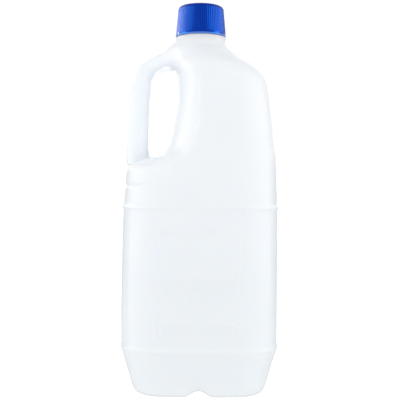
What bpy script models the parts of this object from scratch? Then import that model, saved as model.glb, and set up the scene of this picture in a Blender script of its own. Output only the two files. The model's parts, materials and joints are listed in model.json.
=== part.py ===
"""A two litre bottle of distilled water with a moulded side handle and a ribbed blue screw cap.

The bottle stands on the XY plane, +Z up. Its handle is at -X, its label panel faces -Y.
The inside can't be seen through the milky wall, so the filled bottle is one solid.
All sizes are in metres.
"""

import math

import bmesh
import bpy
import numpy as np

# Main sizes
NECK_X = -0.0002          # the neck stands this far from the middle of the body
COLLAR_TOP = 0.2678       # the round collar that the cap meets
NECK_RADIUS = 0.0156      # the pouring neck, inside the cap
NECK_TOP = 0.2885
CORNER_RADIUS = 0.027     # the upright corners of the body
CAP_BOTTOM = 0.2682
CAP_TOP = 0.2915
CAP_BOTTOM_RADIUS = 0.0194
CAP_TOP_RADIUS = 0.01755
CAP_EDGE_RADIUS = 0.0033
CAP_INSIDE_RADIUS = 0.0160
CAP_CEILING = 0.2897
CAP_LIP_HEIGHT = 0.0022
CAP_RIBS = 72
CAP_RIB_DEPTH = 0.0004

# Edges of the body seen from the front, as height and distance from its middle
RIGHT_EDGE = [
    (0.0000, 0.0450), (0.0015, 0.0474), (0.0050, 0.0494), (0.0130, 0.0518), (0.0260, 0.0558),
    (0.0325, 0.0578), (0.0380, 0.0581), (0.0980, 0.0581), (0.1330, 0.0578), (0.1550, 0.0572),
    (0.1750, 0.0566), (0.1820, 0.0557), (0.1870, 0.0549), (0.2010, 0.0538), (0.2190, 0.0517),
    (0.2290, 0.0504), (0.2340, 0.0491), (0.2385, 0.0469), (0.2435, 0.0426), (0.2515, 0.0321),
    (0.2565, 0.0255), (0.2600, 0.0213), (0.2644, 0.0191), (0.2678, 0.0191),
]
LEFT_EDGE = [
    (0.0000, 0.0446), (0.0015, 0.0470), (0.0050, 0.0490), (0.0130, 0.0516), (0.0260, 0.0556),
    (0.0325, 0.0573), (0.0380, 0.0577), (0.0650, 0.0581), (0.0980, 0.0578), (0.1330, 0.0569),
    (0.1550, 0.0555), (0.1660, 0.0548), (0.1700, 0.0540), (0.1730, 0.0480), (0.1750, 0.0385),
    (0.1775, 0.0310), (0.1810, 0.0268), (0.1850, 0.0248), (0.1910, 0.0226), (0.2000, 0.0209),
    (0.2100, 0.0190), (0.2210, 0.0178), (0.2345, 0.0182), (0.2400, 0.0187), (0.2450, 0.0196),
    (0.2490, 0.0213), (0.2520, 0.0238), (0.2545, 0.0268), (0.2570, 0.0292), (0.2592, 0.0272),
    (0.2615, 0.0238), (0.2644, 0.0195), (0.2678, 0.0191),
]
# Front face of the body: height and distance from the mould's parting plane
FRONT_FACE = [
    (0.0000, 0.0388), (0.0015, 0.0406), (0.0050, 0.0420), (0.0130, 0.0440), (0.0260, 0.0465),
    (0.0325, 0.0473), (0.0380, 0.0474), (0.1000, 0.0474), (0.1330, 0.0472), (0.1750, 0.0463),
    (0.2000, 0.0452), (0.2200, 0.0435), (0.2350, 0.0415), (0.2430, 0.0392), (0.2480, 0.0346),
    (0.2515, 0.0308), (0.2565, 0.0252), (0.2600, 0.0212), (0.2644, 0.0191), (0.2678, 0.0191),
]
# Radius of the corners on the plain side: it grows until the section is round
RIGHT_CORNER = [
    (0.0000, 0.0190), (0.0325, CORNER_RADIUS), (0.2200, CORNER_RADIUS), (0.2350, 0.0290),
    (0.2430, 0.0330), (0.2515, 0.0308), (0.2565, 0.0252), (0.2600, 0.0212), (0.2678, 0.0191),
]
# Beside the handle the front face rounds away from here into the finger hole
SCOOP_START = [
    (0.1600, -0.0280), (0.1660, -0.0220), (0.1745, -0.0075), (0.1900, -0.0024), (0.2030, -0.0018),
    (0.2280, -0.0018), (0.2360, -0.0034), (0.2410, -0.0060), (0.2440, -0.0070), (0.2490, -0.0040),
    (0.2530, -0.0010), (0.2678, NECK_X),
]
SCOOP_BOTTOM = (0.1650, 0.1710)    # between these heights the square corner turns into the scoop
FACE_CROWN = 0.0008                # the flat faces bulge by this much in the middle

# Relief that runs round the body
RING_HEIGHT = 0.1374
RING_HALF_WIDTH = 0.0024
RING_DEPTH = 0.0009
BAND_HEIGHT = 0.0345
BAND_HALF_WIDTH = 0.0030
BAND_DEPTH = 0.0006
GRIP_GROOVES = (0.1532, 0.1683)    # finger grooves under the handle
GRIP_GROOVE_HALF_WIDTH = 0.0018
GRIP_GROOVE_DEPTH = 0.0010

# Base: four feet with an arch between each two
ARCH_HALF_WIDTH = 0.0104
ARCH_HEIGHT = 0.0044
ARCH_FADE = 0.0200                 # height over which the arch dies out up the wall
BASE_RINGS = [(0.92, 0.0), (0.78, 0.0), (0.62, 0.0036), (0.32, 0.0054)]    # scale of the outline, height
BASE_CENTRE = 0.0058

# Handle: middle line in the XZ plane, half its thickness seen from the front, half its depth
HANDLE_LINE = [
    (-0.0120, 0.2496, 0.0075, 0.0220), (-0.0200, 0.2498, 0.0072, 0.0180), (-0.0270, 0.2488, 0.0066, 0.0150),
    (-0.0330, 0.2465, 0.0061, 0.0132), (-0.0388, 0.2432, 0.0060, 0.0126), (-0.0435, 0.2390, 0.0067, 0.0125),
    (-0.0450, 0.2325, 0.0074, 0.0125), (-0.0457, 0.2220, 0.0075, 0.0125), (-0.0464, 0.2080, 0.0076, 0.0125),
    (-0.0469, 0.1930, 0.0080, 0.0125), (-0.0476, 0.1800, 0.0086, 0.0128), (-0.0478, 0.1720, 0.0088, 0.0132),
    (-0.0452, 0.1650, 0.0082, 0.0132), (-0.0390, 0.1590, 0.0070, 0.0132),
]
HANDLE_SQUARENESS = 3.6            # 2 is an ellipse, more is squarer

# Mesh density: from one height to the next in so many steps
LEVEL_BANDS = [
    (0.0000, 0.0015, 1), (0.0015, 0.0050, 1), (0.0050, 0.0315, 3), (0.0315, 0.0375, 4),
    (0.0375, 0.1350, 3), (0.1350, 0.1398, 4), (0.1398, 0.1514, 1), (0.1514, 0.1550, 4),
    (0.1550, 0.1665, 1), (0.1665, 0.1701, 4), (0.1701, 0.1830, 6), (0.1830, 0.2290, 6),
    (0.2290, 0.2450, 6), (0.2450, 0.2530, 4), (0.2530, 0.2644, 5), (0.2644, COLLAR_TOP, 1),
]
SIDE_STEPS = 4
CORNER_STEPS = 8
FACE_STEPS = 10
HANDLE_RINGS = 32
HANDLE_SIDES = 18


def smooth_value(points, at):
    """Value of a smooth curve through the points, which never overshoots between two of them."""
    known = np.array(points)
    x, y = known[:, 0], known[:, 1]
    width = np.diff(x)
    slope = np.diff(y) / width
    bend = np.zeros(len(x))
    same_way = slope[:-1] * slope[1:] > 0
    near, far = slope[:-1][same_way], slope[1:][same_way]
    bend[1:-1][same_way] = 2 * near * far / (near + far)
    bend[0], bend[-1] = slope[0], slope[-1]
    i = int(np.clip(np.searchsorted(x, at) - 1, 0, len(x) - 2))
    t = (at - x[i]) / width[i]
    return float(
        (2 * t**3 - 3 * t**2 + 1) * y[i]
        + (t**3 - 2 * t**2 + t) * width[i] * bend[i]
        + (3 * t**2 - 2 * t**3) * y[i + 1]
        + (t**3 - t**2) * width[i] * bend[i + 1]
    )


def ease(value, start, end):
    """0 before start, 1 after end, smooth between."""
    t = min(max((value - start) / (end - start), 0.0), 1.0)
    return t * t * (3 - 2 * t)


def bump(value, middle, half_width):
    """1 at the middle, falling smoothly to 0 at half_width on each side."""
    t = min(abs(value - middle) / half_width, 1.0)
    return (1 - t * t) ** 2


def quarter(centre_x, half_x, half_y, front, start, end, steps):
    """Points of a quarter ellipse that ends on the front face, angles in degrees from +X."""
    angles = np.radians(np.linspace(start, end, steps + 1))
    return [(centre_x + half_x * math.cos(a), -(front - half_y) - half_y * math.sin(a)) for a in angles]


def front_outline(z, dense=1):
    """Front half of the body's section, from the right edge round to the left edge."""
    right = smooth_value(RIGHT_EDGE, z)
    left = -smooth_value(LEFT_EDGE, z)
    front = smooth_value(FRONT_FACE, z)
    corner = min(smooth_value(RIGHT_CORNER, z), front, right - NECK_X)
    scooped = ease(z, *SCOOP_BOTTOM)
    scoop_start = smooth_value(SCOOP_START, max(z, SCOOP_START[0][0]))
    left_x = corner + (max(scoop_start - left, 0.002) - corner) * scooped
    left_y = corner + (front - corner) * scooped
    points = [(right, -(front - corner) * i / (SIDE_STEPS * dense)) for i in range(SIDE_STEPS * dense)]
    points += quarter(right - corner, corner, corner, front, 0, 90, CORNER_STEPS * dense)
    face_right, face_left = right - corner, left + left_x
    half_face = (face_right - face_left) / 2
    steps = FACE_STEPS * dense
    crown = FACE_CROWN * ease(half_face, 0.005, 0.020)
    for i in range(1, steps):
        across = 2 * i / steps - 1
        points.append((face_right - i / steps * 2 * half_face, -front - crown * (1 - across * across)))
    points += quarter(face_left, left_x, left_y, front, 90, 180, CORNER_STEPS * dense)
    wall = front - left_y
    points += [(left, -wall * (1 - i / (SIDE_STEPS * dense))) for i in range(1, SIDE_STEPS * dense + 1)]
    return np.array(points)


def section_middle(z):
    """A point on the parting plane from which the whole section can be seen."""
    return 0.016 * ease(z, 0.165, 0.180) * (1 - ease(z, 0.248, 0.256)) + NECK_X * ease(z, 0.25, 0.26)


def ring_directions():
    """Angles of the points round every ring, closest together at the corners."""
    outline = front_outline(0.08)
    half = np.arctan2(-outline[:, 1], outline[:, 0])
    half[0], half[-1] = 0.0, math.pi
    return np.concatenate([half, 2 * math.pi - half[-2:0:-1]])


def section_ring(z, directions):
    """The section at height z as one point in each direction from its middle."""
    middle = section_middle(z)
    outline = front_outline(z, dense=4)
    angle = np.arctan2(-outline[:, 1], outline[:, 0] - middle)
    reach = np.hypot(outline[:, 0] - middle, outline[:, 1])
    order = np.argsort(angle)
    folded = np.where(directions > math.pi, 2 * math.pi - directions, directions)
    distance = np.interp(folded, angle[order], reach[order])
    return np.stack([middle + distance * np.cos(directions), -distance * np.sin(directions)], axis=1)


def round_relief(x, z):
    """How far the rings and grooves stand out from the wall at this place."""
    under_handle = ease(-x, 0.010, 0.030)
    relief = RING_DEPTH * bump(z, RING_HEIGHT, RING_HALF_WIDTH)
    relief += BAND_DEPTH * bump(z, BAND_HEIGHT, BAND_HALF_WIDTH)
    for groove in GRIP_GROOVES:
        relief -= GRIP_GROOVE_DEPTH * under_handle * bump(z, groove, GRIP_GROOVE_HALF_WIDTH)
    return relief


def arch_lift(x, y, z):
    """How far the arches between the feet lift the bottom edge."""
    nearest = min(abs(x), abs(y))
    return ARCH_HEIGHT * bump(nearest, 0, ARCH_HALF_WIDTH) * (1 - ease(z, 0, ARCH_FADE))


def body_rings(directions):
    """Rings from the middle of the base outwards, up the wall, over the collar and up the neck."""
    rings = []
    for scale, height in reversed(BASE_RINGS):
        flat = section_ring(0.0, directions) * scale
        rings.append([(x, y, max(height, arch_lift(x, y, 0))) for x, y in flat])
    levels = [LEVEL_BANDS[0][0]]
    for low, high, steps in LEVEL_BANDS:
        levels += [low + (high - low) * (i + 1) / steps for i in range(steps)]
    for z in levels:
        ring = []
        for x, y in section_ring(z, directions):
            out = 1 + round_relief(x, z) / math.hypot(x, y)
            ring.append((x * out, y * out, z + arch_lift(x, y, z)))
        rings.append(ring)
    neck = [(NECK_RADIUS, COLLAR_TOP), (NECK_RADIUS, NECK_TOP - 0.0008), (NECK_RADIUS - 0.0008, NECK_TOP)]
    for radius, z in neck:
        rings.append([(NECK_X + radius * math.cos(a), -radius * math.sin(a), z) for a in directions])
    return rings


def mesh_object(name, rings, first_tip, last_tip):
    """A closed mesh through rings of equal length, with a middle point at each end."""
    shape = bmesh.new()
    loops = [[shape.verts.new(point) for point in ring] for ring in rings]
    for lower, upper in zip(loops, loops[1:]):
        for i in range(len(lower)):
            j = (i + 1) % len(lower)
            shape.faces.new((lower[i], lower[j], upper[j], upper[i]))
    for middle, loop in ((first_tip, loops[0]), (last_tip, loops[-1])):
        tip = shape.verts.new(middle)
        for i in range(len(loop)):
            shape.faces.new((loop[i], loop[(i + 1) % len(loop)], tip))
    bmesh.ops.recalc_face_normals(shape, faces=shape.faces)
    mesh = bpy.data.meshes.new(name)
    shape.to_mesh(mesh)
    shape.free()
    mesh.shade_smooth()
    mesh.set_sharp_from_angle(angle=math.radians(40))
    made = bpy.data.objects.new(name, mesh)
    bpy.context.collection.objects.link(made)
    return made


def handle_rings():
    """Rounded sections square to the handle's middle line."""
    line = np.array(HANDLE_LINE)
    along = np.concatenate([[0], np.cumsum(np.hypot(*np.diff(line[:, :2], axis=0).T))])
    places = np.linspace(0, along[-1], HANDLE_RINGS)
    curve = np.array([[smooth_value(list(zip(along, line[:, k])), s) for k in range(4)] for s in places])
    heading = np.gradient(curve[:, :2], axis=0)
    heading /= np.linalg.norm(heading, axis=1, keepdims=True)
    rings = []
    for (x, z, half, half_depth), (run_x, run_z) in zip(curve, heading):
        ring = []
        for i in range(HANDLE_SIDES):
            angle = 2 * math.pi * i / HANDLE_SIDES
            c, s = math.cos(angle), math.sin(angle)
            out = math.copysign(abs(c) ** (2 / HANDLE_SQUARENESS), c) * half
            deep = math.copysign(abs(s) ** (2 / HANDLE_SQUARENESS), s) * half_depth
            ring.append((x - run_z * out, deep, z + run_x * out))
        rings.append(ring)
    return rings


def ring_middle(ring):
    return tuple(np.mean(np.array(ring), axis=0))


def cap_rings():
    """Outside of the cap from its lip to the top, then its inside from the ceiling down."""
    count = 2 * CAP_RIBS

    def ring(radius, z, ribbed):
        points = []
        for i in range(count):
            angle = 2 * math.pi * i / count
            reach = radius - (CAP_RIB_DEPTH if ribbed and i % 2 else 0)
            points.append((NECK_X + reach * math.cos(angle), reach * math.sin(angle), z))
        return points

    edge_start = CAP_TOP - CAP_EDGE_RADIUS
    rib_start = CAP_BOTTOM + CAP_LIP_HEIGHT
    taper = (CAP_BOTTOM_RADIUS - CAP_TOP_RADIUS) / (edge_start - CAP_BOTTOM)
    rib_start_radius = CAP_BOTTOM_RADIUS - taper * CAP_LIP_HEIGHT
    rings = [
        ring(CAP_INSIDE_RADIUS, CAP_CEILING, False),
        ring(CAP_INSIDE_RADIUS, CAP_BOTTOM, False),
        ring(CAP_BOTTOM_RADIUS - 0.0003, CAP_BOTTOM, False),
        ring(CAP_BOTTOM_RADIUS, CAP_BOTTOM + 0.0004, False),
        ring(rib_start_radius, rib_start - 0.0003, False),
        ring(rib_start_radius, rib_start + 0.0004, True),
        ring(CAP_TOP_RADIUS, edge_start, True),
    ]
    for turn in (30, 60, 90):
        angle = math.radians(turn)
        radius = CAP_TOP_RADIUS - CAP_EDGE_RADIUS * (1 - math.cos(angle))
        rings.append(ring(radius, edge_start + CAP_EDGE_RADIUS * math.sin(angle), turn == 30))
    return rings


def material(name, colour, roughness):
    made = bpy.data.materials.new(name)
    made.use_nodes = True
    shader = made.node_tree.nodes["Principled BSDF"]
    shader.inputs["Base Color"].default_value = (*colour, 1)
    shader.inputs["Roughness"].default_value = roughness
    shader.inputs["Metallic"].default_value = 0
    return made


def build_bottle():
    rings = body_rings(ring_directions())
    bottle = mesh_object("bottle", rings, (0, 0, BASE_CENTRE), (NECK_X, 0, NECK_TOP))
    grip = handle_rings()
    handle = mesh_object("handle_guide", grip, ring_middle(grip[0]), ring_middle(grip[-1]))
    handle.hide_render = True
    handle.display_type = "WIRE"
    join = bottle.modifiers.new("join the handle", "BOOLEAN")
    join.operation = "UNION"
    join.object = handle
    bottle.data.materials.append(material("milky_plastic", (0.86, 0.90, 0.93), 0.3))
    return bottle


def build_cap():
    rings = cap_rings()
    cap = mesh_object("cap", rings, (NECK_X, 0, CAP_CEILING), (NECK_X, 0, CAP_TOP))
    cap.data.materials.append(material("blue_plastic", (0.004, 0.085, 0.54), 0.25))
    return cap


for old in list(bpy.data.objects):
    bpy.data.objects.remove(old)
build_bottle()
build_cap()
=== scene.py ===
# %% [markdown]
# A two litre bottle of distilled water, seen from its label side.
# The real bottle is blow moulded in one piece from milky polyethylene, with a hollow handle, and it is
# filled and shut with a ribbed blue cap. This lesson loads the plain solids of the bottle and the cap,
# which are already in metres and in their places, and then makes finer pieces over them.

# %% Load the frame
import json
import math

import bpy
import numpy as np
from mathutils import Matrix, Vector
from mathutils.bvhtree import BVHTree

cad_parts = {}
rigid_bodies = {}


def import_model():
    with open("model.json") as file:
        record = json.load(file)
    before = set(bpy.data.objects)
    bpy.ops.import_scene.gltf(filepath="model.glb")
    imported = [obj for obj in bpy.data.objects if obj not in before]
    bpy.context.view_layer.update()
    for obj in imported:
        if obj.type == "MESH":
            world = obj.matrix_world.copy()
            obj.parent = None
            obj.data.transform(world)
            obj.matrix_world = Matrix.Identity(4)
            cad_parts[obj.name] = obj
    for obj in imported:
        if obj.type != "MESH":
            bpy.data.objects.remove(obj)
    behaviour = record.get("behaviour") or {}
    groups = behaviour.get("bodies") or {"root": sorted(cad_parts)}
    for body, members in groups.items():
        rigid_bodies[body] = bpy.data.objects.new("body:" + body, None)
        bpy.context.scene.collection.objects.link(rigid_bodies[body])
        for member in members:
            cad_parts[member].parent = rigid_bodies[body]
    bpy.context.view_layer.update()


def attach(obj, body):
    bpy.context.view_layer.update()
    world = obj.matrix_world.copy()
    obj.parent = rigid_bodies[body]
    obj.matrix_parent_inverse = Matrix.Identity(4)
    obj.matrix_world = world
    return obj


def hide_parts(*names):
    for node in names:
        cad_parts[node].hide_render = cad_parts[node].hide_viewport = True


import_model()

# %% [markdown]
# Curves through a few measured points describe the whole bottle.
# A designer of such a bottle draws its front and side outlines and lets the section change smoothly
# between them. The same is done here: each list holds a height and a distance from the middle, and a
# monotone cubic joins the points. It never overshoots, so a flat wall between two points stays flat.

# %% Outlines of the bottle
RIGHT_EDGE = [
    (0.0000, 0.0450), (0.0015, 0.0474), (0.0050, 0.0494), (0.0130, 0.0518), (0.0260, 0.0558),
    (0.0325, 0.0578), (0.0380, 0.0581), (0.0980, 0.0581), (0.1330, 0.0578), (0.1550, 0.0572),
    (0.1750, 0.0566), (0.1820, 0.0557), (0.1870, 0.0549), (0.2010, 0.0538), (0.2190, 0.0517),
    (0.2290, 0.0504), (0.2340, 0.0491), (0.2385, 0.0469), (0.2435, 0.0426), (0.2515, 0.0321),
    (0.2565, 0.0255), (0.2600, 0.0213), (0.2644, 0.0191), (0.2678, 0.0191),
]
LEFT_EDGE = [
    (0.0000, 0.0446), (0.0015, 0.0470), (0.0050, 0.0490), (0.0130, 0.0516), (0.0260, 0.0556),
    (0.0325, 0.0573), (0.0380, 0.0577), (0.0650, 0.0581), (0.0980, 0.0578), (0.1330, 0.0569),
    (0.1550, 0.0555), (0.1660, 0.0548), (0.1700, 0.0540), (0.1730, 0.0480), (0.1750, 0.0385),
    (0.1775, 0.0310), (0.1810, 0.0268), (0.1850, 0.0248), (0.1910, 0.0226), (0.2000, 0.0209),
    (0.2100, 0.0190), (0.2210, 0.0178), (0.2345, 0.0182), (0.2400, 0.0187), (0.2450, 0.0196),
    (0.2490, 0.0213), (0.2520, 0.0238), (0.2545, 0.0268), (0.2570, 0.0292), (0.2592, 0.0272),
    (0.2615, 0.0238), (0.2644, 0.0195), (0.2678, 0.0191),
]
FRONT_FACE = [
    (0.0000, 0.0388), (0.0015, 0.0406), (0.0050, 0.0420), (0.0130, 0.0440), (0.0260, 0.0465),
    (0.0325, 0.0473), (0.0380, 0.0474), (0.1000, 0.0474), (0.1330, 0.0472), (0.1750, 0.0463),
    (0.2000, 0.0452), (0.2200, 0.0435), (0.2350, 0.0415), (0.2430, 0.0392), (0.2480, 0.0346),
    (0.2515, 0.0308), (0.2565, 0.0252), (0.2600, 0.0212), (0.2644, 0.0191), (0.2678, 0.0191),
]
CORNER_RADIUS = 0.027
RIGHT_CORNER = [
    (0.0000, 0.0190), (0.0325, CORNER_RADIUS), (0.2200, CORNER_RADIUS), (0.2350, 0.0290),
    (0.2430, 0.0330), (0.2515, 0.0308), (0.2565, 0.0252), (0.2600, 0.0212), (0.2678, 0.0191),
]


def smooth_value(points, at):
    """Monotone cubic through the points, at one place or at many."""
    x, y = np.array(points).T
    width = np.diff(x)
    slope = np.diff(y) / width
    bend = np.zeros(len(x))
    same_way = slope[:-1] * slope[1:] > 0
    near, far = slope[:-1][same_way], slope[1:][same_way]
    bend[1:-1][same_way] = 2 * near * far / (near + far)
    bend[0], bend[-1] = slope[0], slope[-1]
    i = np.clip(np.searchsorted(x, at) - 1, 0, len(x) - 2)
    t = (at - x[i]) / width[i]
    return (
        (2 * t**3 - 3 * t**2 + 1) * y[i]
        + (t**3 - 2 * t**2 + t) * width[i] * bend[i]
        + (3 * t**2 - 2 * t**3) * y[i + 1]
        + (t**3 - t**2) * width[i] * bend[i + 1]
    )


print("widest:", round(2 * float(smooth_value(RIGHT_EDGE, 0.08)), 4), "m across at the label")

# %% [markdown]
# The body is a stack of horizontal sections.
# A section is a rounded rectangle. Beside the handle its left corners grow into one long rounding, which
# makes the wall of the finger gap: SCOOP_START says at each height how far right that rounding reaches.
# Lofting such sections is closer to the real mould than carving a box, and the rings follow the outline
# exactly at every height. The front is crowned by less than a millimetre, as blown walls are.

# %% Sections of the body
SCOOP_START = [      # height, x
    (0.1600, -0.0280), (0.1660, -0.0220), (0.1745, -0.0075), (0.1900, -0.0024), (0.2030, -0.0018),
    (0.2280, -0.0018), (0.2360, -0.0034), (0.2410, -0.0060), (0.2440, -0.0070), (0.2490, -0.0040),
    (0.2530, -0.0010), (0.2678, -0.0002),
]
SCOOP_BOTTOM = (0.1650, 0.1710)
SMALLEST_SCOOP = 0.002
FACE_CROWN = 0.0008
CROWNED_FACES = (0.005, 0.020)       # half widths: a narrower face has no crown, a wider one all of it
FACE_STEPS = 60
CORNER_STEPS = 40
SIDE_STEPS = 20
NECK_X = -0.0002


def ease(value, start, end):
    """0 before start, 1 after end, smooth between."""
    t = np.clip((value - start) / (end - start), 0.0, 1.0)
    return t * t * (3 - 2 * t)


def quarter(centre_x, half_x, half_y, front, start, end):
    """Points on an ellipse that touches the front face, between two angles in degrees."""
    angles = np.radians(np.linspace(start, end, CORNER_STEPS + 1))
    x = centre_x + half_x * np.cos(angles)
    y = -(front - half_y) - half_y * np.sin(angles)
    return np.stack([x, y], axis=1)


def front_outline(z):
    """Front half of the section at height z, from the right edge round to the left edge."""
    right = smooth_value(RIGHT_EDGE, z)
    left = -smooth_value(LEFT_EDGE, z)
    front = smooth_value(FRONT_FACE, z)
    corner = min(smooth_value(RIGHT_CORNER, z), front, right - NECK_X)
    scooped = ease(z, *SCOOP_BOTTOM)
    scoop_start = smooth_value(SCOOP_START, max(z, SCOOP_START[0][0]))
    left_x = corner + (max(scoop_start - left, SMALLEST_SCOOP) - corner) * scooped
    left_y = corner + (front - corner) * scooped
    face_right, face_left = right - corner, left + left_x
    across = np.linspace(-1, 1, FACE_STEPS + 1)[1:-1]
    crown = FACE_CROWN * ease((face_right - face_left) / 2, *CROWNED_FACES) * (1 - across**2)
    face_x = (face_right + face_left) / 2 - across * (face_right - face_left) / 2
    side = np.linspace(0, 1, SIDE_STEPS, endpoint=False)
    return np.concatenate([
        np.stack([np.full(SIDE_STEPS, right), -(front - corner) * side], axis=1),
        quarter(right - corner, corner, corner, front, 0, 90),
        np.stack([face_x, -front - crown], axis=1),
        quarter(face_left, left_x, left_y, front, 90, 180),
        np.stack([np.full(SIDE_STEPS, left), -(front - left_y) * (1 - side - 1 / SIDE_STEPS)], axis=1),
    ])


print("section at the label:", len(front_outline(0.08)), "points for its front half")

# %% [markdown]
# Sections can only be joined when each of them has the same number of points.
# So each is looked at from a point in its middle, and one point is taken in each of many even directions,
# like the rays of a star. Beside the finger gap that middle moves to the right, because most of the
# section lies there. The back half is the front half folded over the parting plane.

# %% A section as a ring
MIDDLE_BESIDE_GAP = 0.016
GAP_BEGINS = (0.165, 0.180)
GAP_ENDS = (0.248, 0.256)
NECK_BEGINS = (0.250, 0.260)


def section_middle(z):
    """A point on the parting plane from which the whole section can be seen."""
    beside_gap = MIDDLE_BESIDE_GAP * ease(z, *GAP_BEGINS) * (1 - ease(z, *GAP_ENDS))
    return beside_gap + NECK_X * ease(z, *NECK_BEGINS)


def section_ring(z, directions):
    """The section at height z as one point in each direction from its middle."""
    middle = section_middle(z)
    outline = front_outline(z)
    angle = np.arctan2(-outline[:, 1], outline[:, 0] - middle)
    reach = np.hypot(outline[:, 0] - middle, outline[:, 1])
    order = np.argsort(angle)
    folded = np.where(directions > math.pi, 2 * math.pi - directions, directions)
    distance = np.interp(folded, angle[order], reach[order])
    x = middle + distance * np.cos(directions)
    y = -distance * np.sin(directions)
    return np.stack([x, y, np.full(len(directions), z)], axis=1)


print("middle of the section beside the gap:", round(float(section_middle(0.2)), 4))

# %% [markdown]
# The base stands on four feet with an arch between each two.
# In the photo one arch shows in the middle of the front edge. The arch lifts the bottom edge and dies out
# a little way up the wall, and the middle of the base is pushed up so that only the feet touch. A height
# that depends on the place in the ring makes this without any cutting.

# %% Stack the rings
ARCH_HALF_WIDTH = 0.0104
ARCH_HEIGHT = 0.0044
ARCH_FADE = 0.0200
BASE_RINGS = [       # size as a share of the bottom edge, height
    (0.32, 0.0054), (0.50, 0.0046), (0.62, 0.0036), (0.70, 0.0016), (0.78, 0.0), (0.92, 0.0),
]
AROUND = 288
RISE = 0.0010
COLLAR_TOP = 0.2678
NECK_RADIUS = 0.0156
NECK_TOP = 0.2885
NECK_BEVEL = 0.0008


def bump(value, middle, half_width):
    """1 at the middle, falling smoothly to 0 at half_width on each side."""
    t = np.minimum(abs(value - middle) / half_width, 1.0)
    return (1 - t * t) ** 2


def arch_lift(points):
    """How far the arches between the feet lift each point."""
    nearest = np.minimum(abs(points[:, 0]), abs(points[:, 1]))
    return ARCH_HEIGHT * bump(nearest, 0, ARCH_HALF_WIDTH) * (1 - ease(points[:, 2], 0, ARCH_FADE))


def body_rings():
    """From the middle of the base out to its edge, up the walls and up the neck."""
    directions = np.linspace(0, 2 * math.pi, AROUND, endpoint=False)
    rings = []
    for scale, height in BASE_RINGS:
        ring = section_ring(0.0, directions) * scale
        ring[:, 2] = np.maximum(height, arch_lift(ring))
        rings.append(ring)
    for z in np.append(np.arange(0, COLLAR_TOP, RISE), COLLAR_TOP):
        ring = section_ring(z, directions)
        ring[:, 2] += arch_lift(ring)
        rings.append(ring)
    neck = [
        (NECK_RADIUS, COLLAR_TOP),
        (NECK_RADIUS, NECK_TOP - NECK_BEVEL),
        (NECK_RADIUS - NECK_BEVEL, NECK_TOP),
    ]
    for radius, z in neck:
        x, y = NECK_X + radius * np.cos(directions), -radius * np.sin(directions)
        rings.append(np.stack([x, y, np.full(AROUND, z)], axis=1))
    return rings


rings_of_body = body_rings()
print("body:", len(rings_of_body), "rings of", AROUND, "points")

# %% [markdown]
# A stack of rings becomes a closed mesh when each ring is joined to the next by four-sided faces.
# A fan of triangles shuts each end. The same helper makes the body, the handle and the cap, because each
# of them is a stack of rings of equal length.

# %% Close the rings into a mesh
BASE_CENTRE = 0.0058


def new_object(name, points, faces):
    """An object in the scene, with a mesh of these points and faces."""
    mesh = bpy.data.meshes.new(name)
    mesh.from_pydata(points, [], faces)
    made = bpy.data.objects.new(name, mesh)
    bpy.context.collection.objects.link(made)
    return made


def lofted(name, rings, first_tip, last_tip):
    """A closed mesh object through rings of equal length, with a middle point at each end."""
    count, around = len(rings), len(rings[0])
    points = np.concatenate([*rings, [first_tip], [last_tip]])
    ring, step = np.meshgrid(np.arange(count - 1), np.arange(around), indexing="ij")
    here, after = ring * around + step, ring * around + (step + 1) % around
    quads = np.stack([here, after, after + around, here + around], axis=-1).reshape(-1, 4)
    turn = np.arange(around)
    last = (count - 1) * around
    fans = [[(t + 1) % around, t, count * around] for t in turn]
    fans += [[last + t, last + (t + 1) % around, count * around + 1] for t in turn]
    return new_object(name, points.tolist(), quads.tolist() + fans)


body = lofted("body_form", rings_of_body, (0, 0, BASE_CENTRE), (NECK_X, 0, NECK_TOP))
print("body:", len(body.data.polygons), "faces")

# %% [markdown]
# The handle is a hollow tube that the mould pinches out of the same skin.
# It is swept along a line in the parting plane, with a rounded section that is squarer than an ellipse.
# Thickness and depth have a column each, because the real handle is deeper than it is thick and gets
# deeper still where it joins the shoulder. Its ends go well into the body, so that the two can be joined
# into one skin afterwards.

# %% Sweep the handle
HANDLE_LINE = [     # x, z, half its thickness seen from the front, half its depth
    (-0.0120, 0.2496, 0.0075, 0.0220), (-0.0200, 0.2498, 0.0072, 0.0180), (-0.0270, 0.2488, 0.0066, 0.0150),
    (-0.0330, 0.2465, 0.0061, 0.0132), (-0.0388, 0.2432, 0.0060, 0.0126), (-0.0435, 0.2390, 0.0067, 0.0125),
    (-0.0450, 0.2325, 0.0074, 0.0125), (-0.0457, 0.2220, 0.0075, 0.0125), (-0.0464, 0.2080, 0.0076, 0.0125),
    (-0.0469, 0.1930, 0.0080, 0.0125), (-0.0476, 0.1800, 0.0086, 0.0128), (-0.0478, 0.1720, 0.0088, 0.0132),
    (-0.0452, 0.1650, 0.0082, 0.0132), (-0.0390, 0.1590, 0.0070, 0.0132),
]
HANDLE_SQUARENESS = 3.6
HANDLE_STEPS = 130
HANDLE_SIDES = 56


def squared(wave):
    """Pushes a sine or a cosine outwards, so that an ellipse becomes a rounded rectangle."""
    return np.sign(wave) * abs(wave) ** (2 / HANDLE_SQUARENESS)


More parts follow.
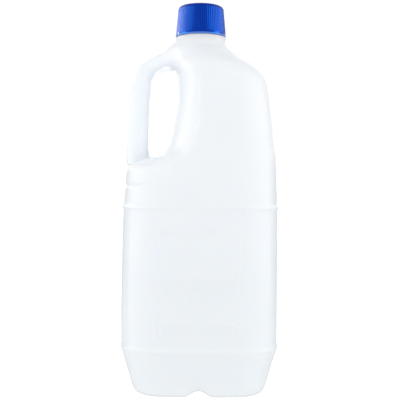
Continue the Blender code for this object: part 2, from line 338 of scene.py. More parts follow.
def handle_rings():
    """Sections across the handle's line, evenly spaced along it."""
    line = np.array(HANDLE_LINE)
    along = np.concatenate([[0], np.cumsum(np.hypot(*np.diff(line[:, :2], axis=0).T))])
    places = np.linspace(0, along[-1], HANDLE_STEPS)
    curve = np.stack([smooth_value(list(zip(along, line[:, k])), places) for k in range(4)], axis=1)
    heading = np.gradient(curve[:, :2], axis=0)
    heading /= np.linalg.norm(heading, axis=1, keepdims=True)
    angles = np.linspace(0, 2 * math.pi, HANDLE_SIDES, endpoint=False)
    across = squared(np.cos(angles))
    deep = squared(np.sin(angles))
    rings = []
    for (x, z, half, half_depth), (run_x, run_z) in zip(curve, heading):
        ring_x = x - run_z * across * half
        ring_z = z + run_x * across * half
        rings.append(np.stack([ring_x, deep * half_depth, ring_z], axis=1))
    return rings


grip = handle_rings()
handle = lofted("handle_form", grip, grip[0].mean(axis=0), grip[-1].mean(axis=0))
print("handle:", len(handle.data.polygons), "faces")

# %% [markdown]
# Blown plastic has no sharp inner corners, so the body and the handle become one skin.
# A boolean would leave a hard line between them. A voxel remesh of the two closed forms together gives
# one even skin instead, which can then be smoothed where the roots of the handle are. The two forms are
# kept as search trees, so that the smoothing can ask how near each one is.

# %% Join the forms into one skin
VOXEL = 0.0008


def search_tree(form):
    """Finds the nearest place on a form, even when the form itself is gone."""
    corners = [v.co for v in form.data.vertices]
    return BVHTree.FromPolygons(corners, [p.vertices[:] for p in form.data.polygons])


def apply_modifiers(made):
    """Gives the object the mesh that its modifiers make, and takes the modifiers off."""
    shaped = made.evaluated_get(bpy.context.evaluated_depsgraph_get())
    mesh = bpy.data.meshes.new_from_object(shaped)
    made.modifiers.clear()
    made.data = mesh


def remeshed(name, forms, voxel):
    """One object made from the closed forms by a voxel remesh. The forms are removed."""
    points, faces = [], []
    for form in forms:
        start = len(points)
        points += [tuple(v.co) for v in form.data.vertices]
        faces += [[start + i for i in p.vertices] for p in form.data.polygons]
    made = new_object(name, points, faces)
    rough = made.data
    modifier = made.modifiers.new("one skin", "REMESH")
    modifier.mode = "VOXEL"
    modifier.voxel_size = voxel
    apply_modifiers(made)
    bpy.data.meshes.remove(rough)
    for form in forms:
        bpy.data.objects.remove(form)
    return made


form_trees = [search_tree(body), search_tree(handle)]
bottle = remeshed("bottle_skin", [body, handle], VOXEL)
print("skin:", len(bottle.data.polygons), "faces")

# %% [markdown]
# Smoothing moves each point of a skin towards the mean of its neighbours.
# Blender has a modifier for that, but here every point needs a strength of its own. So the points are
# read into an array, moved there, and written back.

# %% Read and smooth the points
def numbers_of(items, name, width, kind):
    """The named property of a mesh's points or edges, in one row for each."""
    flat = np.empty(len(items) * width, kind)
    items.foreach_get(name, flat)
    return flat.reshape(-1, width)


def set_points(mesh, points):
    mesh.vertices.foreach_set("co", points.astype(np.float32).ravel())
    mesh.update()


def smoothed(points, edges, strength, rounds):
    """Moves each point towards the mean of its neighbours, by its own strength."""
    here, neighbour = np.concatenate([edges, edges[:, ::-1]]).T
    count = np.bincount(here, minlength=len(points))[:, None]
    for _ in range(rounds):
        total = np.stack([np.bincount(here, points[neighbour, k], len(points)) for k in range(3)], axis=1)
        points = points + strength * (total / count - points)
    return points


skin_points = numbers_of(bottle.data.vertices, "co", 3, np.float32).astype(float)
skin_edges = numbers_of(bottle.data.edges, "vertices", 2, np.int32)
print("skin:", len(skin_points), "points,", len(skin_edges), "edges")

# %% [markdown]
# The fillets come from smoothing that is strong only near both forms.
# Each point of the skin near the handle asks how far it is from the body's form and from the handle's
# form. Where both are close there is a joint, and there the points are averaged with their neighbours
# many times, which melts them together like the fillets of a real mould. Three corners round the finger
# gap are rounder still on the real bottle, so each is softened inside a circle of its own. Everywhere
# else gentle passes in opposite directions take out the steps of the voxels without shrinking the bottle.

# %% Melt the handle into the body
HANDLE_RIGHT = 0.004
HANDLE_LOW = 0.150
HANDLE_HIGH = 0.2655
HANDLE_MIDDLE = 0.2
TOP_FILLET_REACH = 0.0090
LOW_FILLET_REACH = 0.0045
FILLET_CORE = 0.35          # the share of a reach inside which the smoothing is at its full strength
SOFT_CORE = 0.4
SOFT_PLACES = [             # x, height and reach of three corners round the finger gap
    (-0.0120, 0.2475, 0.0120), (-0.0372, 0.2375, 0.0062), (-0.0398, 0.1764, 0.0060),
]
FILLET_STRENGTH = 0.55
FILLET_ROUNDS = 80
EVENING_PASSES = (0.5, -0.53) * 6

x, y, z = skin_points.T
near_handle = (x < HANDLE_RIGHT) & (z > HANDLE_LOW) & (z < HANDLE_HIGH)
fillet = np.zeros(len(skin_points))
for i in np.flatnonzero(near_handle):
    gap = max(tree.find_nearest(Vector(skin_points[i]))[3] for tree in form_trees)
    reach = LOW_FILLET_REACH if z[i] < HANDLE_MIDDLE else TOP_FILLET_REACH
    fillet[i] = 1 - ease(gap, FILLET_CORE * reach, reach)
for soft_x, soft_z, reach in SOFT_PLACES:
    away = np.hypot(x - soft_x, z - soft_z)
    fillet = np.maximum(fillet, 1 - ease(away, SOFT_CORE * reach, reach))
skin_points = smoothed(skin_points, skin_edges, FILLET_STRENGTH * fillet[:, None], FILLET_ROUNDS)
for strength in EVENING_PASSES:
    skin_points = smoothed(skin_points, skin_edges, strength, 1)
set_points(bottle.data, skin_points)
print("fillets:", int((fillet > 0.5).sum()), "points at the roots of the handle")

# %% [markdown]
# Ribs, grooves and the label panel are low relief on the smooth skin.
# Real moulds cut them into the cavity wall. Here each point moves along its own normal by a height that
# depends only on where it is, so the lines keep their width over corners, and a bead runs all the way
# round. They are real geometry, so they also show in the outline. A faint crease runs up beside the
# scoop, where the flat front ends and the rounding into the finger gap begins.

# %% Relief of the mould
RING_HEIGHT = 0.1374
RING_HALF_WIDTH = 0.0024
RING_OUT = 0.0009
RING_LESS_IN_FRONT = 0.0004
BAND_HEIGHT = 0.0345
BAND_HALF_WIDTH = 0.0030
BAND_OUT = 0.0006
GRIP_GROOVES = [(0.1532, 0.034), (0.1683, 0.024)]     # height, and how far left of the middle it starts
GROOVE_FADE = 0.014
GROOVE_HALF_WIDTH = 0.0018
GROOVE_DEPTH = 0.0010
PANEL_HALF_WIDTH = 0.0283
PANEL_LOW = 0.0440
PANEL_HIGH = 0.1235
PANEL_END = 0.001
PANEL_LINE_HALF_WIDTH = 0.0013
PANEL_LINE_OUT = 0.00050
PANEL_RIBS = (0.0535, 0.0860, 0.1200)
PANEL_RIB_END = 0.002
PANEL_RIB_HALF_WIDTH = 0.0016
PANEL_RIB_OUT = 0.00030
SCOOP_CREASE = [     # height, x
    (0.1590, -0.0240), (0.1640, -0.0194), (0.1717, -0.0117), (0.1803, -0.0066), (0.1918, -0.0022),
    (0.2097, -0.0010), (0.2400, -0.0004),
]
CREASE_BEGINS = (0.159, 0.166)
CREASE_ENDS = (0.226, 0.236)
CREASE_DEPTH = 0.03          # no crease nearer than this to the parting plane
CREASE_HALF_WIDTH = 0.0013
CREASE_OUT = 0.00085
UPRIGHT_WALLS = (0.1, 0.5)
FRONT_WALLS = (0.80, 0.96)


def relief(points, normals):
    """How far each point stands out from, or into, the smooth skin."""
    x, y, z = points.T
    upright = ease(1 - abs(normals[:, 2]), *UPRIGHT_WALLS)
    faces_front = ease(abs(normals[:, 1]), *FRONT_WALLS)
    out = (RING_OUT - RING_LESS_IN_FRONT * faces_front) * bump(z, RING_HEIGHT, RING_HALF_WIDTH)
    out += BAND_OUT * bump(z, BAND_HEIGHT, BAND_HALF_WIDTH)
    for height, start in GRIP_GROOVES:
        out -= GROOVE_DEPTH * ease(-x, start, start + GROOVE_FADE) * bump(z, height, GROOVE_HALF_WIDTH)
    below_top = 1 - ease(z, PANEL_HIGH - PANEL_END, PANEL_HIGH + PANEL_END)
    in_panel = ease(z, PANEL_LOW - PANEL_END, PANEL_LOW + PANEL_END) * below_top
    out += PANEL_LINE_OUT * faces_front * in_panel * bump(abs(x), PANEL_HALF_WIDTH, PANEL_LINE_HALF_WIDTH)
    across = 1 - ease(abs(x), PANEL_HALF_WIDTH - PANEL_RIB_END, PANEL_HALF_WIDTH)
    for height in PANEL_RIBS:
        out += PANEL_RIB_OUT * faces_front * across * bump(z, height, PANEL_RIB_HALF_WIDTH)
    crease_x = smooth_value(SCOOP_CREASE, np.clip(z, SCOOP_CREASE[0][0], SCOOP_CREASE[-1][0]))
    creased = ease(z, *CREASE_BEGINS) * (1 - ease(z, *CREASE_ENDS)) * (abs(y) > CREASE_DEPTH)
    out += CREASE_OUT * creased * bump(x, crease_x, CREASE_HALF_WIDTH)
    return out * upright


skin_normals = numbers_of(bottle.data.vertices, "normal", 3, np.float32).astype(float)
skin_points = skin_points + skin_normals * relief(skin_points, skin_normals)[:, None]
set_points(bottle.data, skin_points)
print("relief: box now", skin_points.min(axis=0).round(4), skin_points.max(axis=0).round(4))

# %% [markdown]
# A dense even skin has far more faces than its flat walls need.
# The decimate modifier takes faces away where they lie in one plane and leaves them at the ribs and
# fillets, so the piece stays light without losing its lines. The skin then takes the place of the plain
# solid.

# %% Thin out the flat walls
FACE_LIMIT = 190000


def thinned(made, limit):
    """Brings the object down to the limit, and says how many triangles it had."""
    triangles = sum(len(p.vertices) - 2 for p in made.data.polygons)
    modifier = made.modifiers.new("fewer faces", "DECIMATE")
    modifier.ratio = min(1.0, limit / triangles)
    apply_modifiers(made)
    return triangles


before = thinned(bottle, FACE_LIMIT)
bottle.data.shade_smooth()
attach(bottle, "root")
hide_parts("bottle")
print("bottle:", before, "triangles thinned to", len(bottle.data.polygons))

# %% [markdown]
# The cap is a ribbed cup of blue plastic that is pushed over the neck.
# Its ribs are rounded ridges that start above a smooth lip and fade out at the curved top edge. A ring
# of points whose radius follows a wave gives all of them at once, which is simpler and cleaner than
# 72 copies of one ridge.

# %% A ribbed ring
CAP_RIBS = 72
CAP_RIB_DEPTH = 0.0002
CAP_GROOVE_NARROWNESS = 1.6
POINTS_A_RIB = 8


def cap_ring(radius, z, rib_depth=0.0):
    """A ring round the neck's middle, with a shallow groove between each two ribs."""
    angles = np.linspace(0, 2 * math.pi, CAP_RIBS * POINTS_A_RIB, endpoint=False)
    groove = (0.5 - 0.5 * np.cos(angles * CAP_RIBS)) ** CAP_GROOVE_NARROWNESS
    reach = radius - rib_depth * groove
    x, y = NECK_X + reach * np.cos(angles), reach * np.sin(angles)
    return np.stack([x, y, np.full(len(angles), z)], axis=1)


print("cap:", CAP_RIBS * POINTS_A_RIB, "points a ring")

# %% [markdown]
# A moulded cap is a cup, and the photo's cap narrows a little towards its top.
# One stack of rings goes down the inside, over the lip and up the outside, which gives a real wall with
# no boolean. The rings lie closer where the lip ends and where the top edge turns, because only the
# curves need them. The middle of the top is sunk a little, as on many such caps.

# %% Make the cap
CAP_BOTTOM = 0.2679
CAP_TOP = 0.2915
CAP_BOTTOM_RADIUS = 0.0194
CAP_TOP_RADIUS = 0.01755
CAP_EDGE_RADIUS = 0.0033
CAP_INSIDE_RADIUS = 0.0160
CAP_CEILING = 0.2897
CAP_LIP_HEIGHT = 0.0022
CAP_LIP_BEVEL = 0.0003
CAP_LIP_ROUNDING = 0.0004
RIBS_BEGIN = (-0.0003, 0.0009)       # heights over the top of the lip
RIBS_END = (15, 60)                  # degrees over the top edge
CAP_TOP_RINGS = [                    # radius, and how far it lies under the top
    (0.0137, 0.0), (0.0132, 0.0001), (0.0127, 0.0003), (0.0122, 0.0004), (0.006, 0.0004),
]


def cap_rings():
    """From the ceiling down the inside, round the lip, up the ribs and over the top edge."""
    edge_start = CAP_TOP - CAP_EDGE_RADIUS
    taper = (CAP_BOTTOM_RADIUS - CAP_TOP_RADIUS) / (edge_start - CAP_BOTTOM)
    rib_start = CAP_BOTTOM + CAP_LIP_HEIGHT
    rings = [
        cap_ring(0.4 * CAP_INSIDE_RADIUS, CAP_CEILING),
        cap_ring(CAP_INSIDE_RADIUS, CAP_CEILING),
        cap_ring(CAP_INSIDE_RADIUS, CAP_BOTTOM + CAP_LIP_BEVEL),
        cap_ring(CAP_INSIDE_RADIUS + CAP_LIP_BEVEL, CAP_BOTTOM),
        cap_ring(CAP_BOTTOM_RADIUS - CAP_LIP_ROUNDING, CAP_BOTTOM),
        cap_ring(CAP_BOTTOM_RADIUS - CAP_LIP_ROUNDING / 4, CAP_BOTTOM + CAP_LIP_ROUNDING / 4),
    ]
    up_the_lip = np.linspace(CAP_BOTTOM + CAP_LIP_ROUNDING, rib_start + 0.0012, 9)
    up_the_ribs = np.linspace(rib_start + 0.0022, edge_start, 16)
    for z in np.concatenate([up_the_lip, up_the_ribs]):
        depth = CAP_RIB_DEPTH * ease(z, rib_start + RIBS_BEGIN[0], rib_start + RIBS_BEGIN[1])
        rings.append(cap_ring(CAP_BOTTOM_RADIUS - taper * (z - CAP_BOTTOM), z, depth))
    for turn in np.linspace(0, 90, 13)[1:]:
        angle = math.radians(turn)
        radius = CAP_TOP_RADIUS - CAP_EDGE_RADIUS * (1 - math.cos(angle))
        depth = CAP_RIB_DEPTH * (1 - ease(turn, *RIBS_END))
        rings.append(cap_ring(radius, edge_start + CAP_EDGE_RADIUS * math.sin(angle), depth))
    for radius, drop in CAP_TOP_RINGS:
        rings.append(cap_ring(radius, CAP_TOP - drop))
    return rings


top_middle = (NECK_X, 0, CAP_TOP - CAP_TOP_RINGS[-1][1])
cap = lofted("cap_piece", cap_rings(), (NECK_X, 0, CAP_CEILING), top_middle)
cap.data.shade_smooth()
cap.data.set_sharp_from_angle(angle=math.radians(50))
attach(cap, "root")
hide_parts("cap")
print("cap:", len(cap.data.polygons), "faces")

# %% [markdown]
# A finish is a small tree of nodes, and both plastics need the same few.
# Noise varies a colour or a gloss, a math node calculates with places, and a map range turns one span
# of numbers into another. Short helpers for them keep the finishes below easy to read.

# %% Nodes that work with numbers
def feed(links, socket, given):
    """Gives a socket a number, a colour, or the output of another node."""
    if isinstance(given, bpy.types.NodeSocket):
        links.new(given, socket)
    elif isinstance(given, tuple):
        socket.default_value = (*given, 1)
    else:
        socket.default_value = given


def noise(nodes, links, coordinate, scale, detail):
    made = nodes.new("ShaderNodeTexNoise")
    made.inputs["Scale"].default_value = scale
    made.inputs["Detail"].default_value = detail
    links.new(coordinate, made.inputs["Vector"])
    return made.outputs["Fac"]


def parts_of(nodes, links, vector):
    """The X, Y and Z of a place or a direction, as three outputs."""
    made = nodes.new("ShaderNodeSeparateXYZ")
    links.new(vector, made.inputs["Vector"])
    return made.outputs["X"], made.outputs["Y"], made.outputs["Z"]


def calculate(nodes, links, operation, *values):
    made = nodes.new("ShaderNodeMath")
    made.operation = operation
    for socket, value in zip(made.inputs, values):
        feed(links, socket, value)
    return made.outputs["Value"]


def remapped(nodes, links, noise_value, low, high):
    """Spreads the middle of a noise, 0.3 to 0.7, over low to high."""
    made = nodes.new("ShaderNodeMapRange")
    made.inputs["From Min"].default_value = 0.3
    made.inputs["From Max"].default_value = 0.7
    made.inputs["To Min"].default_value = low
    made.inputs["To Max"].default_value = high
    links.new(noise_value, made.inputs["Value"])
    return made.outputs["Result"]


def soft_step(nodes, links, value, low, high):
    """0 where the value is below low, 1 where it is above high."""
    made = nodes.new("ShaderNodeMapRange")
    made.interpolation_type = "SMOOTHSTEP"
    made.inputs["From Min"].default_value = low
    made.inputs["From Max"].default_value = high
    links.new(value, made.inputs["Value"])
    return made.outputs["Result"]


print("helpers:", [helper.__name__ for helper in (noise, parts_of, calculate, remapped, soft_step)])

# %% [markdown]
# The other helpers make a new finish, blend two colours, and raise a fine grain.
# A colour may be given as three numbers or come from another node, so that blends can be stacked. The
# grain is bump and not geometry, because it is far finer than the mesh.

# %% Nodes for colour and surface
def new_material(name):
    made = bpy.data.materials.new(name)
    made.use_nodes = True
    tree = made.node_tree
    return made, tree.nodes, tree.links, tree.nodes["Principled BSDF"]


def mixed_colour(nodes, links, share, first, second, blend="MIX"):
    """The first colour where the share is 0, and the second blended in where it is 1."""
    made = nodes.new("ShaderNodeMix")
    made.data_type = "RGBA"
    made.blend_type = blend
    feed(links, made.inputs["Factor"], share)
    feed(links, made.inputs["A"], first)
    feed(links, made.inputs["B"], second)
    return made.outputs["Result"]


def bumped(nodes, links, shader, height, strength, distance):
    made = nodes.new("ShaderNodeBump")
    made.inputs["Strength"].default_value = strength
    made.inputs["Distance"].default_value = distance
    links.new(height, made.inputs["Height"])
    links.new(made.outputs["Normal"], shader.inputs["Normal"])


print("pieces to finish:", bottle.name, "and", cap.name)

# %% [markdown]
# Milky polyethylene is white, slightly cool, and has a soft gloss.
# Light goes a few millimetres into it, so its shadows are soft. Subsurface scattering does that, and two
# noises give what a blown wall shows: slow waves in the gloss, and a fine texture from the mould. A second,
# greyer white is painted shade. The bottle gets less light low down and at its sides, and the studio
# painted on the world can't darken by height, so that shade is painted into the colour. It fades in from
# the shoulder down, a little lower at the sides. The handle has it too, as painted shade against the light
# that scatters through the solid piece and brightens it.

# %% Milky plastic
SLOW_WAVES = 38
MOULD_GRAIN = 900
WALL_WHITES = [(0.874, 0.902, 0.958), (0.886, 0.912, 0.968)]
# the greyer whites are painted shade, not a colour of the plastic
PAINTED_SHADE_WHITES = [(0.849, 0.885, 0.904), (0.861, 0.895, 0.914)]
PAINTED_SHADE_HEIGHTS = (0.100, 0.185)        # all of the greyer white below, none of it above
PAINTED_SHADE_DROP = 0.55                     # how far both heights drop for each metre from the middle
# where the handle's painted shade begins, across and then in height
HANDLE_SHADE_X = (0.026, 0.036)
HANDLE_SHADE_HEIGHTS = (0.165, 0.180)

milky, nodes, links, shader = new_material("milky_plastic_finish")
place = nodes.new("ShaderNodeTexCoord").outputs["Object"]
cloud = noise(nodes, links, place, SLOW_WAVES, 3)
grain = noise(nodes, links, place, MOULD_GRAIN, 4)
place_x, _, place_z = parts_of(nodes, links, place)
beside = calculate(nodes, links, "ABSOLUTE", place_x)
height = calculate(nodes, links, "MULTIPLY_ADD", beside, PAINTED_SHADE_DROP, place_z)
# painted shade: the greyer white lower down, and higher up further out at the sides
painted_shade_low = calculate(nodes, links, "SUBTRACT", 1.0, soft_step(nodes, links, height, *PAINTED_SHADE_HEIGHTS))
far_out = soft_step(nodes, links, beside, *HANDLE_SHADE_X)
high_up = soft_step(nodes, links, place_z, *HANDLE_SHADE_HEIGHTS)
on_left = calculate(nodes, links, "LESS_THAN", place_x, 0.0)
# painted shade on the handle, against the light that scatters through the solid piece
painted_handle_shade = calculate(nodes, links, "MULTIPLY", far_out, high_up)
painted_handle_shade = calculate(nodes, links, "MULTIPLY", painted_handle_shade, on_left)
wall = mixed_colour(nodes, links, cloud, *WALL_WHITES)
# painted shade: the greyer white that is mixed in low down and on the handle
deep = mixed_colour(nodes, links, cloud, *PAINTED_SHADE_WHITES)
wall_and_painted_shade = mixed_colour(nodes, links, calculate(nodes, links, "MAXIMUM", painted_shade_low, painted_handle_shade), wall, deep)
links.new(wall_and_painted_shade, shader.inputs["Base Color"])
links.new(remapped(nodes, links, cloud, 0.15, 0.22), shader.inputs["Roughness"])
bumped(nodes, links, shader, grain, 0.06, 0.0001)
shader.inputs["IOR"].default_value = 1.52
shader.inputs["Specular IOR Level"].default_value = 0.5
shader.inputs["Subsurface Weight"].default_value = 0.8
shader.inputs["Subsurface Radius"].default_value = (1.0, 1.1, 1.2)
shader.inputs["Subsurface Scale"].default_value = 0.010
bottle.data.materials.clear()
bottle.data.materials.append(milky)
print("milky plastic:", len(nodes), "nodes")

# %% [markdown]
# The cap is injection moulded, so it is glossier and its colour is even and deep.
# A little variation in the roughness keeps the highlights alive, and a fine bump stands for the spark
# eroded surface of the mould between the ribs. The lip's lighter blue is painted light: it stands for the
# light of the white shoulder below, which comes through the thin lip and falls on its edge. A blue specular
# tint keeps the colour deep where the white studio is mirrored.

# %% Blue plastic
CAP_WAVES = 120
CAP_GRAIN = 1500
SOLID_BLUES = [(0.0001, 0.010, 0.215), (0.0003, 0.014, 0.245)]
# painted light: the lighter blues of the lowest millimetre of the lip
LIP_PAINTED_LIGHT_BLUES = [(0.090, 0.200, 0.560), (0.100, 0.220, 0.600)]
LIP_LIGHT_FADE = (0.0005, 0.0014)          # heights over the bottom of the cap
CAP_SHINE = (0.03, 0.27, 1.0)

blue, nodes, links, shader = new_material("blue_plastic_finish")
place = nodes.new("ShaderNodeTexCoord").outputs["Object"]
cloud = noise(nodes, links, place, CAP_WAVES, 3)
grain = noise(nodes, links, place, CAP_GRAIN, 3)
place_z = parts_of(nodes, links, place)[2]
# painted light fades out from the bottom of the lip upwards
above_lip = soft_step(nodes, links, place_z, CAP_BOTTOM + LIP_LIGHT_FADE[0], CAP_BOTTOM + LIP_LIGHT_FADE[1])
solid_blue = mixed_colour(nodes, links, cloud, *SOLID_BLUES)
painted_lip_light = mixed_colour(nodes, links, cloud, *LIP_PAINTED_LIGHT_BLUES)
links.new(mixed_colour(nodes, links, above_lip, painted_lip_light, solid_blue), shader.inputs["Base Color"])
links.new(remapped(nodes, links, cloud, 0.11, 0.16), shader.inputs["Roughness"])
bumped(nodes, links, shader, grain, 0.08, 0.0001)
shader.inputs["IOR"].default_value = 1.50
shader.inputs["Specular IOR Level"].default_value = 1.0
shader.inputs["Specular Tint"].default_value = (*CAP_SHINE, 1)
cap.data.materials.append(blue)
print("blue plastic:", len(nodes), "nodes")

# %% [markdown]
# The studio round the bottle is painted on the world by direction.
# Lamps and white cards would do as well, but a painted world gives clean soft light with little noise.
# The first nodes work out which way a direction goes: how far up, and how far round from the camera's
# side, to the left or to the right.

# %% Directions round the bottle
world = bpy.data.worlds.new("studio")
bpy.context.scene.world = world
world.use_nodes = True
nodes, links = world.node_tree.nodes, world.node_tree.links
nodes.clear()
to_right, to_back, up = parts_of(nodes, links, nodes.new("ShaderNodeTexCoord").outputs["Generated"])
to_camera = calculate(nodes, links, "MULTIPLY", to_back, -1.0)
signed_turn = calculate(nodes, links, "ARCTAN2", to_right, to_camera)
signed_turn = calculate(nodes, links, "DIVIDE", signed_turn, 2 * math.pi)
half_turns = calculate(nodes, links, "MULTIPLY", calculate(nodes, links, "ABSOLUTE", signed_turn), 2.0)
print("directions:", len(nodes), "nodes")

# %% [markdown]
# The studio is white, with a tall soft light on each side and a dim table below.
# A photographer uses that setup for white things on white: the side lights draw a pale band down each
# rounded corner, and what lies low behind the bottle draws a thin darker line down each edge. There are
# three belts of tones, for directions that go down, level and up, and a soft lid. One small brighter
# strip, high on the left and a little behind, lights the slopes that face that way.

# %% Light the studio
HIGH_TONES = [      # degrees from the camera's side, and how bright the studio is there
    (0, 0.92), (22, 1.02), (50, 1.13), (68, 1.47), (108, 1.47), (116, 0.75), (150, 0.75), (165, 1.05),
]
LOW_TONES = [       # the same, level with the bottle and just below
    (0, 1.26), (50, 1.12), (66, 1.47), (100, 1.47), (106, 0.30), (154, 0.30), (164, 1.20),
]
TABLE_TONES = [     # the same, further down
    (0, 0.95), (60, 0.90), (98, 0.85), (108, 0.62), (180, 0.62),
]
TABLE_EDGE = (-0.22, -0.08)          # heights of direction between which one belt fades into the next
LOW_EDGE = (0.05, 0.12)
LID_EDGE = (0.40, 0.80)
TOP_LIGHT = 0.60
STRIP_LIGHT = 1.2
STRIP_TURN = (-0.375, -0.265)        # in whole turns from the camera's side
STRIP_HEIGHT = (0.22, 0.42)
STRIP_FADE = 0.02
LIGHT_TINT = (0.995, 1.0, 1.014)


def round_studio(tones):
    """A tone for every direction round the bottle, the same on the left as on the right."""
    made = nodes.new("ShaderNodeValToRGB")
    ramp = made.color_ramp
    while len(ramp.elements) < len(tones):
        ramp.elements.new(1.0)
    for element, (degrees, tone) in zip(ramp.elements, tones):
        element.position = degrees / 180
        element.color = (tone, tone, tone, 1)
    links.new(half_turns, made.inputs["Fac"])
    return made.outputs["Color"]


def faded(edge, under, over):
    """The tone under this edge, then the tone over it."""
    return mixed_colour(nodes, links, soft_step(nodes, links, up, *edge), under, over)


def within(value, start, end):
    """1 between start and end, with a soft edge just inside each."""
    after_start = soft_step(nodes, links, value, start, start + STRIP_FADE)
    after_end = soft_step(nodes, links, value, end - STRIP_FADE, end)
    before_end = calculate(nodes, links, "SUBTRACT", 1.0, after_end)
    return calculate(nodes, links, "MULTIPLY", after_start, before_end)


level = faded(TABLE_EDGE, round_studio(TABLE_TONES), round_studio(LOW_TONES))
walls = faded(LOW_EDGE, level, round_studio(HIGH_TONES))
with_lid = faded(LID_EDGE, walls, (TOP_LIGHT, TOP_LIGHT, TOP_LIGHT))
strip = calculate(nodes, links, "MULTIPLY", within(up, *STRIP_HEIGHT), within(signed_turn, *STRIP_TURN))
strip = calculate(nodes, links, "MULTIPLY", strip, STRIP_LIGHT)
with_strip = mixed_colour(nodes, links, 1.0, with_lid, strip, "ADD")
studio_tones = mixed_colour(nodes, links, 1.0, with_strip, LIGHT_TINT, "MULTIPLY")
print("studio:", len(HIGH_TONES) + len(LOW_TONES) + len(TABLE_TONES), "tones round the bottle")

# %% [markdown]
# The photo's background is pure white, whatever lights the bottle.
# The world can show one thing to the camera and another to the surfaces, by the kind of ray that asks.
# So the camera sees a plain white backdrop, and the light on the bottle stays that of the studio.

# %% White backdrop
STUDIO_STRENGTH = 1.16
BACKDROP_STRENGTH = 1.05

studio = nodes.new("ShaderNodeBackground")
studio.inputs["Strength"].default_value = STUDIO_STRENGTH
links.new(studio_tones, studio.inputs["Color"])
backdrop = nodes.new("ShaderNodeBackground")
backdrop.inputs["Color"].default_value = (1, 1, 1, 1)
backdrop.inputs["Strength"].default_value = BACKDROP_STRENGTH
seen = nodes.new("ShaderNodeLightPath").outputs["Is Camera Ray"]
choice = nodes.new("ShaderNodeMixShader")
links.new(seen, choice.inputs["Fac"])
links.new(studio.outputs["Background"], choice.inputs[1])
links.new(backdrop.outputs["Background"], choice.inputs[2])
links.new(choice.outputs["Shader"], nodes.new("ShaderNodeOutputWorld").inputs["Surface"])
print("world:", len(nodes), "nodes")

# %% [markdown]
# The photo's cap has a clear light band down its left edge, and both its sides are an even bright blue.
# The band looks like a narrow lamp a little behind the cap, and the blue like light that goes round
# inside the plastic. A photographer would screen the bottle from such lamps with a black card. Light
# linking does the same: these lamps light only what is in their own collection, which here is the cap.
# One narrow white lamp draws the band, and a wide bluish one on each side gives the blue.

# %% Lamps for the cap
CAP_LAMP_RISE = math.radians(17)
CAP_LAMP_DISTANCE = 0.60
WHITE_LAMP = (1.0, 1.0, 1.0)
BLUE_LAMP = (0.02, 0.60, 1.0)
CAP_LAMPS = {       # degrees from the camera's side, width, height, power, colour
    "cap_lamp_edge": (-128, 0.040, 0.16, 0.42, WHITE_LAMP),
    "cap_lamp_left": (-84, 0.240, 0.20, 1.2, BLUE_LAMP),
    "cap_lamp_right": (80, 0.260, 0.20, 1.5, BLUE_LAMP),
}


def area_lamp(name, width, height, power, colour):
    lamp_data = bpy.data.lights.new(name, "AREA")
    lamp_data.shape = "RECTANGLE"
    lamp_data.size = width
    lamp_data.size_y = height
    lamp_data.energy = power
    lamp_data.color = colour
    lamp = bpy.data.objects.new(name, lamp_data)
    bpy.context.collection.objects.link(lamp)
    return lamp


lit_pieces = bpy.data.collections.new("lit_by_cap_lamps")
lit_pieces.objects.link(cap)
cap_centre = Vector((NECK_X, 0, 0.5 * (CAP_BOTTOM + CAP_TOP)))
level_reach = CAP_LAMP_DISTANCE * math.cos(CAP_LAMP_RISE)
rise = CAP_LAMP_DISTANCE * math.sin(CAP_LAMP_RISE)
for name, (degrees, width, height, power, colour) in CAP_LAMPS.items():
    lamp = area_lamp(name, width, height, power, colour)
    side_turn = math.radians(degrees)
    offset = Vector((level_reach * math.sin(side_turn), -level_reach * math.cos(side_turn), rise))
    lamp.location = cap_centre + offset
    lamp.rotation_euler = offset.to_track_quat("Z", "Y").to_euler()
    lamp.light_linking.receiver_collection = lit_pieces
    print(name, [round(v, 3) for v in lamp.location])

# %% [markdown]
# The real handle is hollow and thin, so light comes through it and its inner side is never dark.
# The piece here is solid, and its inner side would be grey. A small weak lamp behind the finger gap, which
# the camera can't see, stands for the light that the thin walls let through.

# %% A lamp behind the finger gap
GAP_LAMP_WIDTH = 0.022
GAP_LAMP_HEIGHT = 0.060
GAP_LAMP_POWER = 0.0055

gap_lamp = area_lamp("gap_lamp", GAP_LAMP_WIDTH, GAP_LAMP_HEIGHT, GAP_LAMP_POWER, WHITE_LAMP)
gap_lamp.location = (-0.025, 0.047, 0.200)
gap_lamp.rotation_euler = (math.radians(-120), 0, math.radians(-25))
gap_lamp.visible_camera = False
print("gap lamp:", GAP_LAMP_POWER, "W")

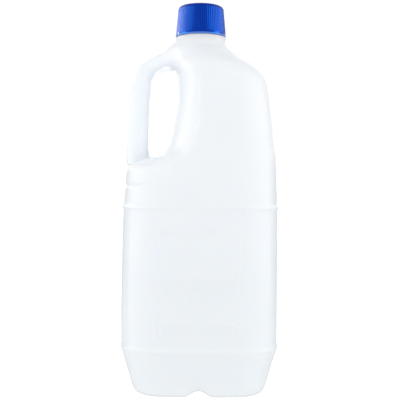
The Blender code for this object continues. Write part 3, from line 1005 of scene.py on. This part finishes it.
# %% [markdown]
# The floor is a pale sweep that is lit so strongly that it photographs as white.
# Part of its brightness is its own, so that it stays white under the bottle's faint shadow, as in the
# photo. The bottle doesn't see it, or its base would glow, where the photo's is its darkest part.

# %% Floor
FLOOR_HALF = 3.0
FLOOR_DROP = 0.0003
FLOOR_CORNERS = [(-1, -1), (1, -1), (1, 1), (-1, 1)]

floor_points = [(FLOOR_HALF * side_x, FLOOR_HALF * side_y, 0) for side_x, side_y in FLOOR_CORNERS]
floor = new_object("floor", floor_points, [(0, 1, 2, 3)])
floor.location.z = -FLOOR_DROP
pale, nodes, links, shader = new_material("pale_floor")
shader.inputs["Base Color"].default_value = (0.85, 0.85, 0.85, 1)
shader.inputs["Roughness"].default_value = 0.9
shader.inputs["Specular IOR Level"].default_value = 0.0
shader.inputs["Emission Color"].default_value = (1, 1, 1, 1)
shader.inputs["Emission Strength"].default_value = 0.55
floor.data.materials.append(pale)
floor.visible_diffuse = False
floor.visible_glossy = False
print("floor:", 2 * FLOOR_HALF, "m wide")

# %% [markdown]
# The camera stands level with the middle of the bottle, two thirds of a metre away.
# How strongly the lip of the cap and the base curve gives that distance. The frame is turned by less
# than half a degree, because the photo's bottle leans a little.

# %% Camera
CAMERA_DISTANCE = 0.655
CAMERA_HEIGHT = 0.1485
CAMERA_LEAN = 0.44
SENSOR_WIDTH = 36
FOCAL_LENGTH_PIXELS = 850
PHOTO_WIDTH_PIXELS = 400

camera_data = bpy.data.cameras.new("camera")
camera = bpy.data.objects.new("camera", camera_data)
bpy.context.collection.objects.link(camera)
camera.matrix_world = (
    Matrix.Translation((0, -CAMERA_DISTANCE, CAMERA_HEIGHT))
    @ Matrix.Rotation(math.radians(90), 4, "X")
    @ Matrix.Rotation(math.radians(CAMERA_LEAN), 4, "Z")
)
camera_data.sensor_width = SENSOR_WIDTH
camera_data.lens = SENSOR_WIDTH * FOCAL_LENGTH_PIXELS / PHOTO_WIDTH_PIXELS
camera_data.shift_x = 0.0003
camera_data.shift_y = -0.0188
camera_data.dof.use_dof = False
bpy.context.scene.camera = camera
bpy.context.scene.view_settings.view_transform = "Standard"
print("camera:", round(camera_data.lens, 1), "mm lens")
